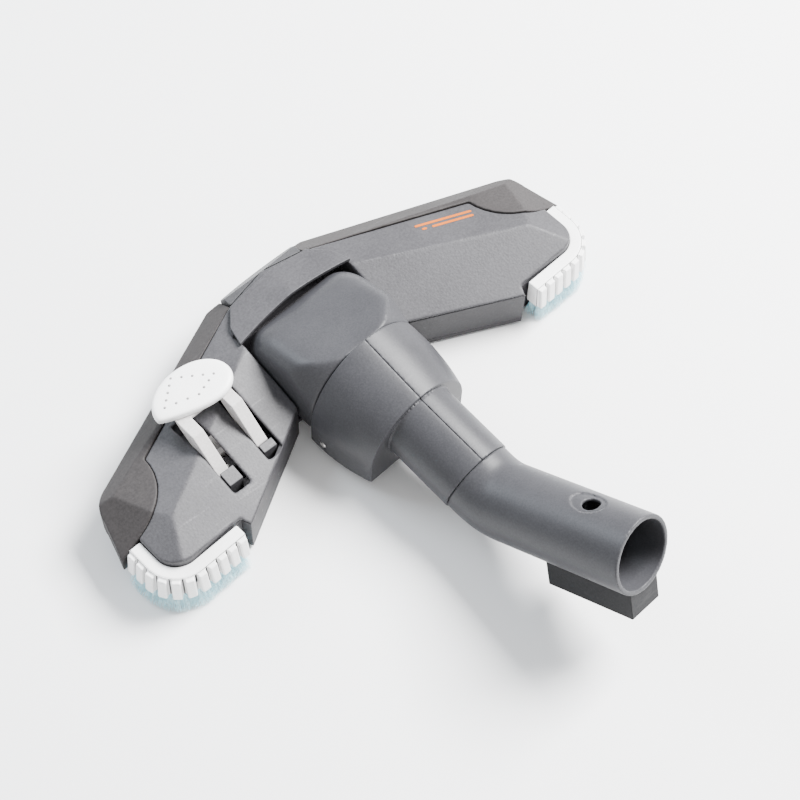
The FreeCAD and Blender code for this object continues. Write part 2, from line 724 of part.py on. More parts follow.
def barrel_solid(skin, half, low):
    """Outside (skin 0) or inside of the barrel: round in front, rising straight to the wheel housing."""
    radius = barrel_radius - skin
    edge = Vector(0, bulge_front, SHOULDER - skin * 1.05) - pivot
    reach = math.hypot(edge.y, edge.z)
    touch = math.atan2(edge.z, edge.y) - math.acos(radius / reach)
    start = on_barrel(radius, BARREL_START)
    middle = on_barrel(radius, (BARREL_START + touch) / 2)
    end = on_barrel(radius, touch)
    corners = [pivot + edge, Vector(0, bulge_front, low), Vector(0, pivot.y + 6, low), start]
    edges = [Part.Arc(start, middle, end).toShape(), Part.LineSegment(end, corners[0]).toShape()]
    for first, second in zip(corners, corners[1:]):
        edges.append(Part.LineSegment(first, second).toShape())
    face = Part.Face(Part.Wire(edges))
    face.translate(Vector(-half, 0, 0))
    solid = face.extrude(Vector(2 * half, 0, 0))
    rounded = [edge for edge in solid.Edges if long_top_edge(edge, half)]
    return solid.makeFillet(SHOULDER_ROUND - skin, rounded)


def long_top_edge(edge, half):
    """The round and the straight top edge on each side of the barrel."""
    box = edge.BoundBox
    on_side = box.XLength < 0.01 and abs(abs(box.Center.x) - half) < 0.01
    return on_side and box.ZMin > 30.0 and box.YLength > 5.0


def hinge_barrel():
    """Visor-like cover that turns between the wings, open below to the suction mouth."""
    half = sheet.get("barrel_half")
    outer = barrel_solid(0.0, half, 13.0).common(barrel_shoulders(0.0))
    inner = barrel_solid(SHELL, half - SHELL, 5.0).common(barrel_shoulders(SHELL))
    mouth_room = block(-half + SHELL, half - SHELL, bulge_front - 1, 90, 0, sheet.get("pivot_height"))
    result = outer.cut(inner).cut(mouth_room)
    radius = sheet.get("trunnion_radius")
    for side in (-1, 1):
        hub = disc(8.0, SHELL, pivot + Vector(side * (half - SHELL), 0, 0), Vector(side, 0, 0))
        pin = disc(radius, 5.0, pivot + Vector(side * half, 0, 0), Vector(side, 0, 0))
        result = result.fuse(hub).fuse(pin)
    return result.removeSplitter()


def arch(y, half, low, shoulder, top):
    """An arched section across the neck: upright sides and a half ellipse on them."""
    left = Vector(-half, y, low)
    left_up = Vector(-half, y, shoulder)
    right_up = Vector(half, y, shoulder)
    right = Vector(half, y, low)
    rise = top - shoulder
    spring = []
    for step in range(1, 8):
        angle = math.pi * (1 - step / 8.0)
        spring.append(Vector(half * math.cos(angle), y, shoulder + rise * math.sin(angle)))
    crown = Part.BSplineCurve()
    crown.interpolate([left_up] + spring + [right_up])
    return Part.Wire([
        Part.LineSegment(left, left_up).toShape(), crown.toShape(),
        Part.LineSegment(right_up, right).toShape(), Part.LineSegment(right, left).toShape(),
    ])


def barrel_shoulders(skin):
    """Arched space that opens forward and narrows the barrel's square shoulders to the housing's arch."""
    behind = arch(bulge_front - 1.0, 33.2 - skin, -5.0, SPRING_LINE, 58.2 - skin)
    ahead = arch(90.0, 50.0 - skin, -5.0, SPRING_LINE, 106.0 - skin)
    return Part.makeLoft([behind, ahead], True, True)


def bulge_solid(skin, low, front, back):
    """Wheel housing, widest in front and drawn in towards the pipe."""
    half = sheet.get("bulge_half")
    sections = [
        arch(front, half - skin, low, SPRING_LINE, 59.4 - skin),
        arch(4.0, half - 0.4 - skin, low, SPRING_LINE, 55.6 - skin),
        arch(back, half - 4.5 - skin, low, SPRING_LINE, 52.2 - skin),
    ]
    return Part.makeLoft(sections, True, False)


def pipe_solid(radius, start, end):
    """A cylinder on the neck axis, from one distance before the swivel joint to another."""
    return disc(radius, start - end, ring - neck_axis * start, neck_axis)


def neck_solid():
    """Wheel housing and pipe as one hollow body, open in front and below."""
    outer = bulge_solid(0.0, sheet.get("bulge_low"), bulge_front - 0.02, -14.0)
    pipe = pipe_solid(sheet.get("neck_radius"), 39.0, 0.0)
    inner = bulge_solid(SHELL, -5.0, bulge_front + 1.0, -11.6)
    bore = pipe_solid(sheet.get("neck_bore"), 60.0, -5.0)
    axle = Vector(-60, sheet.get("axle_back"), sheet.get("wheel_radius"))
    hole = disc(sheet.get("axle_radius") + 0.03, 120, axle, Vector(1, 0, 0))
    return outer.cut(inner).fuse(pipe).cut(bore).cut(hole)


def neck_half(side):
    """One moulded half of the neck; the halves meet on the middle plane."""
    space = block(0, 80, -80, 80, -20, 90) if side > 0 else block(-80, 0, -80, 80, -20, 90)
    return neck_solid().common(space)


def air_duct():
    """Liner that carries the air from the barrel into the pipe, above the axle, with a flange in front."""
    outer = pipe_solid(17.6, 76.0, 44.0)
    inner = pipe_solid(15.6, 80.0, 30.0)
    flange = bulge_solid(3.2, 5.0, bulge_front - 0.02, -11.6).common(block(-40, 40, 18.4, 20.4, 27.0, 70.0))
    return outer.fuse(flange).cut(inner)


# ---------------------------------------------------------------------------------------------------
# Elbow, drawn upright with its spigot on the Y axis, then turned into place
# ---------------------------------------------------------------------------------------------------

elbow_first = sheet.get("elbow_first")
elbow_second = sheet.get("elbow_second")
bend = math.radians(sheet.get("elbow_bend"))
bend_radius = sheet.get("bend_radius")
elbow_turn = neck_turn.multiply(Rotation(Vector(0, 1, 0), sheet.get("swivel_angle")))
corner = Vector(0, -elbow_first, 0)
wand_axis = Vector(0, -math.cos(bend), math.sin(bend))
wand_top = Vector(0, math.sin(bend), math.cos(bend))
mouth = corner + wand_axis * elbow_second


def bent_rod(radius, start):
    """A solid round rod that follows the elbow's centre line."""
    tangent = bend_radius * math.tan(bend / 2)
    first = disc(radius, elbow_first - tangent + start, Vector(0, start, 0), Vector(0, -1, 0))
    arc_start = Vector(0, -(elbow_first - tangent), 0)
    face = Part.Face(Part.Wire(Part.Circle(arc_start, Vector(0, -1, 0), radius).toShape()))
    curve = face.revolve(arc_start + Vector(0, 0, bend_radius), Vector(-1, 0, 0), math.degrees(bend))
    last = disc(radius, elbow_second - tangent, corner + wand_axis * tangent, wand_axis)
    return first.fuse(curve).fuse(last)


LOCK_BACK = 25.1
LOCK_RADIUS = 4.0
RECESS_LENGTH = 17.0
RECESS_WIDTH = 12.5
RECESS_DEPTH = 0.7


def elbow_tube():
    """Bent tube with a stepped spigot for the swivel and a lock hole near the wand's end."""
    outer = bent_rod(sheet.get("elbow_radius"), 0.0)
    spigot = disc(sheet.get("neck_bore") - 0.06, 24.0, Vector(0, 24.0, 0), Vector(0, -1, 0))
    groove = disc(20.0, 3.0, Vector(0, 20.0, 0), Vector(0, -1, 0))
    groove = groove.cut(disc(15.2, 3.0, Vector(0, 20.0, 0), Vector(0, -1, 0)))
    inner = bent_rod(14.2, 30.0)
    bore = disc(sheet.get("wand_radius"), sheet.get("wand_depth") + 1.0, mouth + wand_axis, -wand_axis)
    place_hole = mouth - wand_axis * LOCK_BACK
    lock = disc(LOCK_RADIUS, 30.0, place_hole, wand_top)
    return outer.fuse(spigot).cut(inner).cut(bore).cut(groove).cut(lock).cut(thumb_recess(place_hole))


def thumb_recess(centre):
    """Shallow oval sunk into the tube round the lock hole; its longer half points away from the mouth."""
    oval = Part.Ellipse(Vector(0, 0, 0), RECESS_LENGTH / 2, RECESS_WIDTH / 2).toShape()
    column = Part.Face(Part.Wire(oval)).extrude(Vector(0, 0, 40))
    upright = Rotation(wand_axis, Vector(0, 0, 0), wand_top, "ZXY")
    column.Placement = Placement(centre - wand_axis * 1.5, upright)
    ring_out = disc(sheet.get("elbow_radius") + 5.0, 60, centre - wand_axis * 30, wand_axis)
    ring_in = disc(sheet.get("elbow_radius") - RECESS_DEPTH, 62, centre - wand_axis * 31, wand_axis)
    return column.common(ring_out.cut(ring_in))


def park_hook():
    """Ribbed hook under the wand's end that hangs the head on the cleaner."""
    radius = sheet.get("elbow_radius")
    length = 46.0
    width = 19.0
    depth = 11.0
    skin = 1.8
    outer = Part.makeBox(width, length, depth + 6.0, Vector(-width / 2, 1.0, -radius - depth))
    low = Vector(-width / 2 + skin, 1.0 + skin, -radius - depth - 1.0)
    cavity = Part.makeBox(width - 2 * skin, length - 2 * skin, depth - 0.5, low)
    tube = Part.makeCylinder(radius + 0.02, 80, Vector(0, -10, 0), Vector(0, 1, 0))
    hook = outer.cut(cavity).cut(tube)
    turn = Rotation(Vector(1, 0, 0), -math.degrees(bend))
    hook.Placement = Placement(mouth, turn)
    return hook


# ---------------------------------------------------------------------------------------------------
# The pieces, in the order they go together
# ---------------------------------------------------------------------------------------------------

UP = Vector(0, 0, 1)

shaped("sole_plate", sole_plate())
shaped("lower_tray", lower_tray())
shaped("top_cover", top_cover())
shaped("centre_band", centre_band())
shaped("front_lip", front_lip())
right_bumper = bumper()
shaped("bumper_right", right_bumper)
shaped("bumper_left", mirrored(right_bumper))
right_comb = comb()
shaped("comb_right", right_comb)
shaped("comb_left", mirrored(right_comb))
right_bristles = corner_bristles()
shaped("comb_bristles_right", right_bristles)
shaped("comb_bristles_left", mirrored(right_bristles))


def cover_screws():
    """Countersunk screws that hold the sole plate to the tray."""
    solids = []
    for x, y in SCREWS:
        for side in (-1, 1):
            base = Vector(side * x, y, sole_low)
            head = disc(3.0, 1.4, base, UP)
            stem = disc(1.25, 12.0, base, UP)
            solids.append(head.fuse(stem))
    return Part.makeCompound(solids)


shaped("cover_screws", cover_screws())


# Lint strips: napped pads under the front shelf of the sole.
for name, side in (("lint_strip_right", 1), ("lint_strip_left", -1)):
    corners = [(side * x, front_y(x, line)) for x, line in ((32, 97), (108, 97), (108, 93.5), (32, 93.5))]
    padded(name, "XY_Plane", corners, size("sole_low") * 0.6, Vector(0, 0, sole_low * 0.4 - 0.02))

# Front rollers on their pins.
roller_half = size("roller_width") / 2
for name, side in (("right", 1), ("left", -1)):
    spot = Vector(side * sheet.get("roller_out"), sheet.get("roller_back"), sheet.get("roller_radius"))
    turned("front_roller_" + name, [
        (-roller_half, size("pin_radius") + 0.03), (-roller_half, size("roller_radius") - 0.6),
        (-roller_half + 0.8, size("roller_radius")), (roller_half - 0.8, size("roller_radius")),
        (roller_half, size("roller_radius") - 0.6), (roller_half, size("pin_radius") + 0.03)], spot)
    rod("roller_pin_" + name, size("pin_radius"), size("roller_width") + 4.6, spot)

# Pedal, its lever, pin and spring.
shaped("pedal_plate", pedal_plate())
shaped("pedal_lever", pedal_lever())
shaped("pivot_blocks", pivot_blocks())
rod("pedal_pin", size("lever_pin"), size("slot_width") + 20.6,
    Vector(-pedal_out + 0.3, sheet.get("lever_back"), sheet.get("lever_height")))

# Brush strip that the pedal lowers.
shaped("brush_carrier", brush_carrier())
shaped("carrier_bristles", carrier_bristles())
shaped("return_springs", return_springs())
spring = coil(2.1, 0.35, 0.95, 6)
shaped("pedal_spring", spring, Vector(-pedal_out - 2.9, sheet.get("lever_back"), sheet.get("lever_height")),
       Rotation(Vector(0, 1, 0), 90))

# Neck.
shaped("hinge_barrel", hinge_barrel())
shaped("neck_half_right", neck_half(1))
shaped("neck_half_left", neck_half(-1))
shaped("air_duct", air_duct())
axle_spot = Vector(0, sheet.get("axle_back"), sheet.get("wheel_radius"))
rod("wheel_axle", size("axle_radius"), size("bulge_half") * 2 + 0.6, axle_spot)
wheel_half = size("wheel_width") / 2
for name, side in (("right", 1), ("left", -1)):
    spot = axle_spot + Vector(side * sheet.get("wheel_out"), 0, 0)
    turned("rear_wheel_" + name, [
        (-wheel_half, size("axle_radius") + 0.05), (-wheel_half, size("axle_radius") + 2.0),
        (-wheel_half * 0.5, size("axle_radius") + 2.6), (-wheel_half * 0.5, size("hub_radius") - 1.6),
        (-wheel_half, size("hub_radius") - 1.0), (-wheel_half, size("hub_radius")),
        (wheel_half, size("hub_radius")), (wheel_half, size("hub_radius") - 1.0),
        (wheel_half * 0.5, size("hub_radius") - 1.6), (wheel_half * 0.5, size("axle_radius") + 2.6),
        (wheel_half, size("axle_radius") + 2.0), (wheel_half, size("axle_radius") + 0.05)], spot)
    turned("rear_tyre_" + name, [
        (-wheel_half, size("hub_radius")), (-wheel_half, size("wheel_radius") - 0.9),
        (-wheel_half + 1.0, size("wheel_radius")), (wheel_half - 1.0, size("wheel_radius")),
        (wheel_half, size("wheel_radius") - 0.9), (wheel_half, size("hub_radius"))], spot)

# Elbow with its swivel clip, hook and wand.
shaped("elbow_tube", elbow_tube(), ring, elbow_turn)
shaped("park_hook", park_hook(), ring, elbow_turn)
across = elbow_turn.multiply(Rotation(Vector(0, 0, 1), 90))
turned("swivel_clip", [
    (17.1, 15.25), (17.1, size("neck_bore") - 0.1), (19.9, size("neck_bore") - 0.1), (19.9, 15.25)],
    ring, across)

doc.recompute()

failed = [item.Name for item in doc.Objects if "Invalid" in item.State or "Error" in item.State]
if failed:
    raise RuntimeError("these objects did not rebuild: " + ", ".join(failed))

os.makedirs("parts", exist_ok=True)
for item in PIECES:
    shape = item.Shape
    if shape.isNull() or not shape.isValid():
        raise RuntimeError(item.Label + " has no valid shape")
    shape.exportStep("parts/%s.step" % item.Label)
    print(item.Label, len(shape.Solids), round(shape.Volume, 1))
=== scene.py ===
import math
import random

import bpy
from mathutils import Matrix, Vector


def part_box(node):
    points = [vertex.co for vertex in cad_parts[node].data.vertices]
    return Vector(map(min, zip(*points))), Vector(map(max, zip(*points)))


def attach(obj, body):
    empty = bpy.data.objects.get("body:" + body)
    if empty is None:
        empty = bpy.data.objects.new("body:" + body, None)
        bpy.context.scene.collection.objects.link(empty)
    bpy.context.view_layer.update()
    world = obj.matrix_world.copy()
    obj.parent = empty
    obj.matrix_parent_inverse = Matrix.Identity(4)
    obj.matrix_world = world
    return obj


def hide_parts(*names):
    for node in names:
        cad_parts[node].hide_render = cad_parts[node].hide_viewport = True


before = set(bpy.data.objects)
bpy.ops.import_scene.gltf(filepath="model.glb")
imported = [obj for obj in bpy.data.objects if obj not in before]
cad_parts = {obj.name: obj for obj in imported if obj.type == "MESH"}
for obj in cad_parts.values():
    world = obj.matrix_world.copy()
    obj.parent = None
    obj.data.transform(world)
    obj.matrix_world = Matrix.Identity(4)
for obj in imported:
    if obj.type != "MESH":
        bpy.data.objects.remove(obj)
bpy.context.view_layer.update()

MM = 0.001

# Table top and studio: the head lies on a pale matt table under one large soft lamp high on the right,
# with a weaker bluish lamp from the front left and an even white room around it.


def only(piece):
    """Selects one object and nothing else."""
    bpy.ops.object.select_all(action="DESELECT")
    piece.select_set(True)
    bpy.context.view_layer.objects.active = piece


def put(tree, kind, settings=None, **sockets):
    """A shader node with its settings; each socket takes a plain value or another node's output."""
    item = tree.nodes.new(kind)
    for name, value in (settings or {}).items():
        setattr(item, name, value)
    for name, value in sockets.items():
        socket = item.inputs[name.replace("_", " ")]
        if isinstance(value, bpy.types.NodeSocket):
            tree.links.new(value, socket)
        else:
            socket.default_value = value
    return item


def blended(tree, factor, first, second):
    """Mixes two colours by a factor; sockets 0, 6 and 7 of a Mix node are its factor and its two colours."""
    item = tree.nodes.new("ShaderNodeMix")
    item.data_type = "RGBA"
    for index, value in ((0, factor), (6, first), (7, second)):
        if isinstance(value, bpy.types.NodeSocket):
            tree.links.new(value, item.inputs[index])
        else:
            item.inputs[index].default_value = value
    return item.outputs[2]


bpy.ops.object.select_all(action="DESELECT")
bpy.ops.mesh.primitive_plane_add(size=4.0, location=(0, 0, 0))
table = bpy.context.object
table.name = "table_top"
table_finish = bpy.data.materials.new("pale table")
table_finish.use_nodes = True
tree = table_finish.node_tree
place = put(tree, "ShaderNodeTexCoord").outputs["Object"]
cloud = put(tree, "ShaderNodeTexNoise", Vector=place, Scale=3.0, Detail=3.0).outputs["Fac"]
shell = tree.nodes["Principled BSDF"]
tone = blended(tree, cloud, (0.75, 0.75, 0.755, 1), (0.79, 0.79, 0.79, 1))
tree.links.new(tone, shell.inputs["Base Color"])
shell.inputs["Roughness"].default_value = 0.8
shell.inputs["Specular IOR Level"].default_value = 0.1
table.data.materials.append(table_finish)

room = bpy.data.worlds.new("white room")
bpy.context.scene.world = room
room.use_nodes = True
room.node_tree.nodes["Background"].inputs["Color"].default_value = (1.0, 1.0, 1.0, 1)
ROOM_STRENGTH = 1.15
room.node_tree.nodes["Background"].inputs["Strength"].default_value = ROOM_STRENGTH


def lamp(name, spot, aim, across, power):
    """A square soft lamp that looks at a point."""
    bpy.ops.object.light_add(type="AREA", location=spot)
    light = bpy.context.object
    light.name = name
    light.data.shape = "SQUARE"
    light.data.size = across
    light.data.energy = power
    light.rotation_euler = (Vector(aim) - Vector(spot)).to_track_quat("-Z", "Y").to_euler()
    return light


lamp("main_lamp", spot=(0.95, -0.15, 1.15), aim=(0.0, 0.02, 0.02), across=0.75, power=168.0)
side_lamp = lamp("side_lamp", spot=(-0.35, 1.0, 0.8), aim=(0.0, 0.0, 0.02), across=0.6, power=16.0)
side_lamp.data.color = (0.8, 0.9, 1.0)

# The camera looks down from the rear left: degrees round the head, above the table and of tilt.
CAMERA_AZIMUTH, CAMERA_HEIGHT, CAMERA_ROLL = -47.03, 60.55, 3.22
CAMERA_SPOT = Vector((-280.44, -239.98, 713.09)) * MM
azimuth, height = math.radians(CAMERA_AZIMUTH), math.radians(CAMERA_HEIGHT)
back = Vector((math.sin(azimuth) * math.cos(height), -math.cos(azimuth) * math.cos(height), math.sin(height)))
right = Vector((math.cos(azimuth), math.sin(azimuth), 0.0))
up = back.cross(right)
level = Matrix((right, up, back)).transposed()
bpy.ops.object.camera_add(location=CAMERA_SPOT)
camera = bpy.context.object
camera.name = "camera"
camera.data.lens = 76.5
camera.data.sensor_width = 36.0
camera.rotation_euler = (level @ Matrix.Rotation(math.radians(CAMERA_ROLL), 3, "Z")).to_euler()
bpy.context.scene.camera = camera

# Sole plate and lower tray: the two dark grey mouldings that carry everything else, injection moulded in
# polypropylene and screwed together from below. Their visible walls have a fine spark-eroded grain.


def new_effect(name, inputs, outputs):
    """A node group with named number inputs and named outputs."""
    effect = bpy.data.node_groups.new(name, "ShaderNodeTree")
    for label, value in inputs:
        socket = effect.interface.new_socket(name=label, in_out="INPUT", socket_type="NodeSocketFloat")
        socket.default_value = value
    for label, kind in outputs:
        effect.interface.new_socket(name=label, in_out="OUTPUT", socket_type=kind)
    return effect, effect.nodes.new("NodeGroupInput").outputs, effect.nodes.new("NodeGroupOutput").inputs


def reckoned(tree, kind, *values):
    """One step of arithmetic on plain values and other nodes' outputs."""
    item = tree.nodes.new("ShaderNodeMath")
    item.operation = kind
    for socket, value in zip(item.inputs, values):
        if isinstance(value, bpy.types.NodeSocket):
            tree.links.new(value, socket)
        else:
            socket.default_value = value
    return item.outputs[0]


# Fine pits left by the mould, slow cloudy changes of tone, and a few faint handling scratches.
mould_grain, given, result = new_effect(
    "mould grain", [("Grain", 1000.0), ("Cloud", 28.0)],
    [("Tone", "NodeSocketFloat"), ("Polish", "NodeSocketFloat"), ("Height", "NodeSocketFloat")])
place = put(mould_grain, "ShaderNodeTexCoord").outputs["Object"]
pits = put(mould_grain, "ShaderNodeTexNoise", Vector=place, Scale=given["Grain"], Detail=2.0,
           Roughness=0.65).outputs["Fac"]
specks = put(mould_grain, "ShaderNodeTexVoronoi", Vector=place, Scale=given["Grain"]).outputs["Distance"]
cloud = put(mould_grain, "ShaderNodeTexNoise", Vector=place, Scale=given["Cloud"], Detail=5.0,
            Roughness=0.6).outputs["Fac"]
long_way = put(mould_grain, "ShaderNodeMapping", Vector=place, Rotation=(0.3, 0.2, 0.7), Scale=(14, 900, 300))
scratch = put(mould_grain, "ShaderNodeTexNoise", Vector=long_way.outputs[0], Scale=1.0, Detail=1.0)
marks = put(mould_grain, "ShaderNodeMapRange", Value=scratch.outputs["Fac"], From_Min=0.66,
            From_Max=0.74).outputs[0]
slow = reckoned(mould_grain, "MULTIPLY", cloud, 0.45)
mould_grain.links.new(reckoned(mould_grain, "MULTIPLY_ADD", pits, 0.55, slow), result["Tone"])
worn = reckoned(mould_grain, "MULTIPLY", marks, 0.5)
mould_grain.links.new(reckoned(mould_grain, "SUBTRACT", cloud, worn), result["Polish"])
mould_grain.links.new(reckoned(mould_grain, "ADD", pits, specks), result["Height"])

# Edges rubbed slightly bright and rounded off, with an uneven outline.
rubbed_edge, given, result = new_effect(
    "rubbed edge", [("Radius", 0.0005), ("Breaks", 260.0)],
    [("Edge", "NodeSocketFloat"), ("Soft", "NodeSocketVector")])
place = put(rubbed_edge, "ShaderNodeTexCoord").outputs["Object"]
soft = put(rubbed_edge, "ShaderNodeBevel", {"samples": 4}, Radius=given["Radius"]).outputs[0]
face = put(rubbed_edge, "ShaderNodeNewGeometry").outputs["Normal"]
dot = put(rubbed_edge, "ShaderNodeVectorMath", {"operation": "DOT_PRODUCT"})
rubbed_edge.links.new(soft, dot.inputs[0])
rubbed_edge.links.new(face, dot.inputs[1])
near = put(rubbed_edge, "ShaderNodeMapRange", Value=dot.outputs["Value"], From_Min=0.995, From_Max=0.86)
breaks = put(rubbed_edge, "ShaderNodeTexNoise", Vector=place, Scale=given["Breaks"], Detail=3.0)
gaps = put(rubbed_edge, "ShaderNodeMapRange", Value=breaks.outputs["Fac"], From_Min=0.3, From_Max=0.7)
rubbed_edge.links.new(reckoned(rubbed_edge, "MULTIPLY", near.outputs[0], gaps.outputs[0]), result["Edge"])
rubbed_edge.links.new(soft, result["Soft"])


def moulding(name, dark, light, edge, smooth, rough, grain=1000.0, depth=0.00006, bump=0.4, radius=0.0005,
             gloss=0.2):
    """A moulded plastic between two tones, brighter at its edges; its roughness runs from smooth to rough."""
    finish = bpy.data.materials.new(name)
    finish.use_nodes = True
    tree = finish.node_tree
    shell = tree.nodes["Principled BSDF"]
    skin = put(tree, "ShaderNodeGroup", {"node_tree": mould_grain}, Grain=grain).outputs
    wear = put(tree, "ShaderNodeGroup", {"node_tree": rubbed_edge}, Radius=radius).outputs
    tone = put(tree, "ShaderNodeMapRange", Value=skin["Tone"], From_Min=0.38, From_Max=0.62).outputs[0]
    colour = blended(tree, tone, (*dark, 1), (*light, 1))
    share = reckoned(tree, "MULTIPLY", wear["Edge"], 0.55)
    tree.links.new(blended(tree, share, colour, (*edge, 1)), shell.inputs["Base Color"])
    sheen = put(tree, "ShaderNodeMapRange", Value=skin["Polish"], From_Min=0.25, From_Max=0.75, To_Min=smooth,
                To_Max=rough)
    tree.links.new(sheen.outputs[0], shell.inputs["Roughness"])
    relief = put(tree, "ShaderNodeBump", Height=skin["Height"], Normal=wear["Soft"], Strength=bump,
                 Distance=depth)
    tree.links.new(relief.outputs[0], shell.inputs["Normal"])
    shell.inputs["Specular IOR Level"].default_value = gloss
    return finish


def dress(piece, finish, body, slot, *nodes):
    """Gives a piece its finish and its body, and puts it in the place of the CAD nodes it stands for."""
    piece.data.materials.clear()
    piece.data.materials.append(finish)
    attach(piece, body)
    if nodes:
        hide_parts(*nodes)
    return piece


WELD = 0.002 * MM
FLAT_ANGLE = 0.4


def softened(node, name, edge, finish, body, slot, sharp=30.0):
    """The CAD shape with its triangles welded into faces and its sharp edges moulded round."""
    piece = bpy.data.objects.new(name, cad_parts[node].data.copy())
    bpy.context.scene.collection.objects.link(piece)
    only(piece)
    bpy.ops.mesh.customdata_custom_splitnormals_clear()
    bpy.ops.object.mode_set(mode="EDIT")
    bpy.ops.mesh.select_all(action="SELECT")
    bpy.ops.mesh.remove_doubles(threshold=WELD)
    bpy.ops.mesh.dissolve_limited(angle_limit=math.radians(FLAT_ANGLE))
    bpy.ops.object.mode_set(mode="OBJECT")
    rounding = piece.modifiers.new("rounding", "BEVEL")
    rounding.width = edge
    rounding.segments = 2
    rounding.limit_method = "ANGLE"
    rounding.angle_limit = math.radians(sharp)
    rounding.use_clamp_overlap = False
    rounding.harden_normals = True
    bpy.ops.object.shade_smooth()
    bpy.ops.object.modifier_apply(modifier="rounding")
    return dress(piece, finish, body, slot, node)


tray_plastic = moulding("tray plastic", (0.021, 0.02, 0.0225), (0.031, 0.03, 0.033), (0.065, 0.065, 0.07),
                        0.42, 0.6)
softened("sole_plate", "sole_moulding", 0.25 * MM, tray_plastic, "head", "tray_grey")
softened("lower_tray", "tray_moulding", 0.25 * MM, tray_plastic, "head", "tray_grey")

# Top cover and centre band: the lighter grey mouldings on top, with a satin eroded skin and soft creases.
# The cover snaps over the tray's rim, and the band is glued to its front.
cover_plastic = moulding("cover plastic", (0.037, 0.036, 0.039), (0.054, 0.053, 0.057), (0.12, 0.12, 0.125),
                         0.38, 0.56, grain=850.0, bump=0.55)


def skinned(node, name, pitch, rounds, finish, body, slot):
    """The CAD shape as one even skin of a pitch, smoothed in rounds so that faces blend into each other."""
    piece = softened(node, name, 0.3 * MM, finish, body, slot)
    piece.data.remesh_voxel_size = pitch
    bpy.ops.object.voxel_remesh()
    blending = piece.modifiers.new("blending", "SMOOTH")
    blending.factor = 0.5
    blending.iterations = rounds
    bpy.ops.object.modifier_apply(modifier="blending")
    bpy.ops.object.shade_smooth()
    piece.data.materials.clear()
    piece.data.materials.append(finish)
    return piece


skinned("top_cover", "cover_moulding", 0.65 * MM, 12, cover_plastic, "head", "cover_grey")
softened("centre_band", "band_moulding", 0.3 * MM, cover_plastic, "head", "cover_grey")

# Bumper strips and the front lip: a softer dark compound along the front edges, ending in the curved caps
# over the front corners. Matt, with a slightly rubbery skin; the lip between them is a hard moulding.
bumper_compound = moulding("bumper compound", (0.023, 0.021, 0.021), (0.034, 0.031, 0.031),
                           (0.07, 0.066, 0.066), 0.5, 0.68, grain=800.0, gloss=0.15)
for side in ("right", "left"):
    skinned("bumper_" + side, "bumper_strip_" + side, 0.5 * MM, 14, bumper_compound, "head", "bumper_grey")
lip_plastic = moulding("lip plastic", (0.034, 0.034, 0.036), (0.05, 0.05, 0.053), (0.09, 0.09, 0.092), 0.42,
                       0.58)
softened("front_lip", "lip_moulding", 0.25 * MM, lip_plastic, "head", "bumper_grey")

# Combs: white mouldings round the outer rear corners, screwed under the cover. Their upright fluted teeth
# flare outwards at the foot, so that the bristles below them splay.
comb_plastic = moulding("comb plastic", (0.74, 0.74, 0.735), (0.82, 0.82, 0.815), (0.9, 0.9, 0.9), 0.3, 0.46,
                        grain=900.0, bump=0.12, radius=0.0003, gloss=0.4)
# from the middle of the rounded corner to the comb's outer face, how far the teeth flare at the foot, and the
# share of that reach inside which nothing moves
BAND_REACH, TOOTH_FLARE, INNER_SHARE = 19.7 * MM, 1.7 * MM, 0.5


def corner_centre(side):
    """Middle of the rounded corner that a comb runs round, and the side it is on."""
    low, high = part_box("comb_" + side)
    sign = 1 if side == "right" else -1
    outer = high.x if side == "right" else low.x
    return Vector((outer - sign * BAND_REACH, low.y + BAND_REACH, 0)), sign


def outwards(spot, centre, sign):
    """Direction away from the corner: sideways, round the corner, or straight back along the rear edge."""
    way = Vector((spot.x - centre.x, spot.y - centre.y, 0))
    way.x = max(way.x * sign, 0.0) * sign
    way.y = min(way.y, 0.0)
    return way


for side in ("right", "left"):
    comb = softened("comb_" + side, "comb_moulding_" + side, 0.8 * MM, comb_plastic, "head", "comb_white",
                    sharp=40.0)
    centre, sign = corner_centre(side)
    low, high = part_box("comb_" + side)
    for corner in comb.data.vertices:
        way = outwards(corner.co, centre, sign)
        depth = (high.z - corner.co.z) / (high.z - low.z)
        if way.length > INNER_SHARE * BAND_REACH:
            share = (way.length / BAND_REACH - INNER_SHARE) / (1 - INNER_SHARE)
            corner.co += way.normalized() * TOOTH_FLARE * share * depth ** 2

# Comb bristles: pale blue nylon filaments in tufts, stapled into the underside of the combs in two rows and
# splayed out to the floor, the outer row most.
bristle_nylon = bpy.data.materials.new("pale blue nylon")
bristle_nylon.use_nodes = True
tree = bristle_nylon.node_tree
shell = tree.nodes["Principled BSDF"]
place = put(tree, "ShaderNodeTexCoord").outputs["Object"]
hanging = put(tree, "ShaderNodeMapping", Vector=place, Scale=(900, 900, 60)).outputs[0]
hair = put(tree, "ShaderNodeTexNoise", Vector=hanging, Scale=1.0, Detail=2.0).outputs["Fac"]
tint = put(tree, "ShaderNodeMapRange", Value=hair, From_Min=0.35, From_Max=0.65).outputs[0]
tree.links.new(blended(tree, tint, (0.38, 0.7, 0.78, 1), (0.66, 0.9, 0.96, 1)), shell.inputs["Base Color"])
tree.links.new(put(tree, "ShaderNodeMapRange", Value=hair, To_Min=0.3, To_Max=0.5).outputs[0],
               shell.inputs["Roughness"])
dice = random.Random(4)
FULL_TURN = 6.28


def joined(pieces, name):
    """Joins copies into one piece whose origin is the scene's."""
    bpy.ops.object.select_all(action="DESELECT")
    for item in pieces:
        item.select_set(True)
    bpy.context.view_layer.objects.active = pieces[0]
    bpy.ops.object.join()
    whole = bpy.context.object
    whole.name = name
    whole.data.transform(whole.matrix_world)
    whole.matrix_world = Matrix.Identity(4)
    return whole


